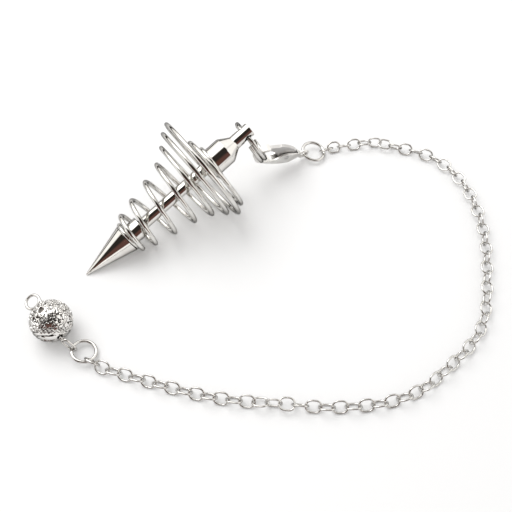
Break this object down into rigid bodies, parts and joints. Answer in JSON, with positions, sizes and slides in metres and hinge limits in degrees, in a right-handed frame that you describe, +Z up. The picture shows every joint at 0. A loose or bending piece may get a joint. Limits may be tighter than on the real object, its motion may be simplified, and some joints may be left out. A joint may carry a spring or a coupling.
{
  "type": "pendulum pendant",
  "caption": "Pointed metal pendulum in a wire spiral, on a link chain with a lobster clasp and a textured grip bead.",
  "frame": {"origin": "on the surface that the pendulum lies on, under the middle of its bounding box", "axes": "+X to the right along the laid-out chain's long side, +Y away from the viewer, +Z up from the surface"},
  "size_m": [0.1219, 0.0854, 0.0293],
  "materials": {
    "polished_metal": "mirror polished",
    "spiral_metal": "mirror polished",
    "ring_metal": "bright",
    "clasp_metal": "bright",
    "lever_metal": "bright",
    "chain_metal": "bright",
    "bead_metal": "textured"
  },
  "bodies": {
    "pendulum": {"tip_cone": "polished_metal", "rod": "polished_metal", "top_fitting": "polished_metal", "spiral_wire": "spiral_metal", "split_ring": "ring_metal", "clasp_body": "clasp_metal", "clasp_rivet": "lever_metal", "clasp_ring": "ring_metal", "chain": "chain_metal", "bead_ring": "ring_metal", "bead": "bead_metal", "bead_pin": "ring_metal"},
    "lever": {"clasp_lever": "lever_metal"}
  },
  "joints": [
    {"name": "clasp_lever", "type": "hinge", "parent": "pendulum", "child": "lever", "pos_m": [0.00536, 0.03303, 0.00582], "axis": [0.3643, -0.9052, -0.2187], "range_deg": [0, 9], "stiffness_Nm_per_rad": 0.001, "springref_deg": -8.59}
  ]
}
